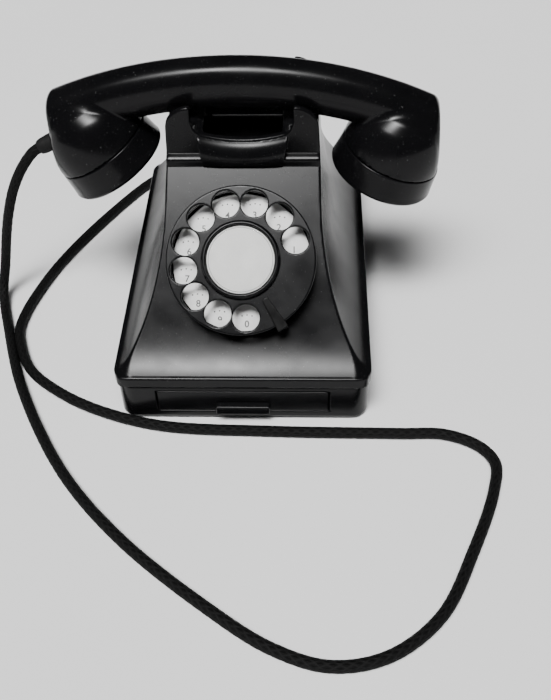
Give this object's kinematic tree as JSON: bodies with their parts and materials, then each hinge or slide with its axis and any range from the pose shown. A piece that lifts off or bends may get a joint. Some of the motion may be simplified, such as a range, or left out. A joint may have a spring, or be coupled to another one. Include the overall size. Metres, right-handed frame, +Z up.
{
  "type": "rotary dial desk telephone",
  "caption": "Black desk telephone with a rotary finger wheel, a handset lying in a cradle, a sliding drawer in its base and a cloth cord.",
  "frame": {"origin": "middle of the footprint of the base and handset, on the table that the feet stand on", "axes": "+Z up, the dial faces -Y, the handset lies along X with its cord end at -X"},
  "size_m": [0.2904, 0.3816, 0.1574],
  "materials": {
    "phenolic": "moulded black phenolic, glossy, with faint rubbing marks",
    "rubber": "moulded black rubber",
    "steel": "plated steel",
    "brass": "turned and stamped brass",
    "winding": "wound wire under varnished cloth tape",
    "fibre": "pressed fibre board",
    "chrome": "chromed brass",
    "enamel": "white enamel with dark digits",
    "card": "plain white card",
    "window": "clear domed window",
    "braid": "braided black cotton over rubber"
  },
  "bodies": {
    "base": {"housing": "phenolic", "base_tray": "phenolic", "foot_1": "rubber", "foot_2": "rubber", "foot_3": "rubber", "foot_4": "rubber", "base_screw_1": "steel", "base_screw_2": "steel", "base_screw_3": "steel", "base_screw_4": "steel", "chassis_plate": "steel", "gong_left": "brass", "gong_post_left": "steel", "ringer_coil_left": "winding", "gong_right": "brass", "gong_post_right": "steel", "ringer_coil_right": "winding", "ringer_yoke": "steel", "clapper_bracket": "steel", "induction_coil": "winding", "capacitor_can": "steel", "terminal_block": "fibre", "lever_pin": "steel", "switch_bracket": "steel", "spring_shelf": "fibre", "contact_springs": "brass", "dial_case": "phenolic", "number_ring": "enamel", "finger_stop": "steel", "governor_frame": "brass", "pulse_springs": "brass", "handset_cord": "braid", "cord_bush_base": "rubber", "line_inlet": "rubber"},
    "handset": {"handset_body": "phenolic", "transmitter_cap": "phenolic", "transmitter_capsule": "steel", "receiver_cap": "phenolic", "receiver_capsule": "steel", "cord_bush_handset": "rubber"},
    "finger_wheel": {"finger_wheel": "phenolic", "label_ring": "phenolic", "label_card": "card", "label_window": "window", "dial_shaft": "steel", "main_gear": "brass", "pulse_cam": "brass"},
    "governor": {"governor_shaft": "steel"},
    "drawer": {"drawer": "phenolic", "drawer_pull": "phenolic"},
    "plunger_left": {"cradle_plunger_left": "chrome"},
    "plunger_right": {"cradle_plunger_right": "chrome"},
    "switch_lever": {"switch_lever": "steel"},
    "clapper": {"clapper": "brass"}
  },
  "joints": [
    {"name": "handset_lift", "type": "slide", "parent": "base", "child": "handset", "axis": [0, 0, 1], "range_m": [0, 0.06], "deforming": ["handset_cord"]},
    {"name": "dial_turn", "type": "hinge", "parent": "base", "child": "finger_wheel", "pos_m": [0, -0.05116, 0.07188], "axis": [0, 0.682, -0.7314], "range_deg": [0, 320], "stiffness_Nm_per_rad": 0.005},
    {"name": "governor_spin", "type": "hinge", "parent": "base", "child": "governor", "pos_m": [0.0203, -0.04421, 0.06442], "axis": [0, 0.7314, 0.682], "range_deg": [0, 7680]},
    {"name": "drawer_slide", "type": "slide", "parent": "base", "child": "drawer", "axis": [0, -1, 0], "range_m": [0, 0.085]},
    {"name": "plunger_left_rise", "type": "slide", "parent": "base", "child": "plunger_left", "axis": [0, 0, 1], "range_m": [0, 0.0045], "stiffness_N_per_m": 60, "springref_m": 0.006},
    {"name": "plunger_right_rise", "type": "slide", "parent": "base", "child": "plunger_right", "axis": [0, 0, 1], "range_m": [0, 0.0045], "stiffness_N_per_m": 60, "springref_m": 0.006},
    {"name": "switch_lever_turn", "type": "hinge", "parent": "base", "child": "switch_lever", "pos_m": [0, -0.0025, 0.0975], "axis": [1, 0, 0], "range_deg": [0, 17.2]},
    {"name": "clapper_swing", "type": "hinge", "parent": "base", "child": "clapper", "pos_m": [0, 0.0415, 0.0368], "axis": [0, 0, 1], "range_deg": [-3.5, 3.5], "stiffness_Nm_per_rad": 0.02}
  ],
  "couplings": [
    {"joint": "governor_spin", "follows": "dial_turn", "ratio": 24},
    {"joint": "plunger_left_rise", "follows": "handset_lift", "ratio": 0.075},
    {"joint": "plunger_right_rise", "follows": "handset_lift", "ratio": 0.075},
    {"joint": "switch_lever_turn", "follows": "handset_lift", "rad_per_m": 4.95}
  ]
}
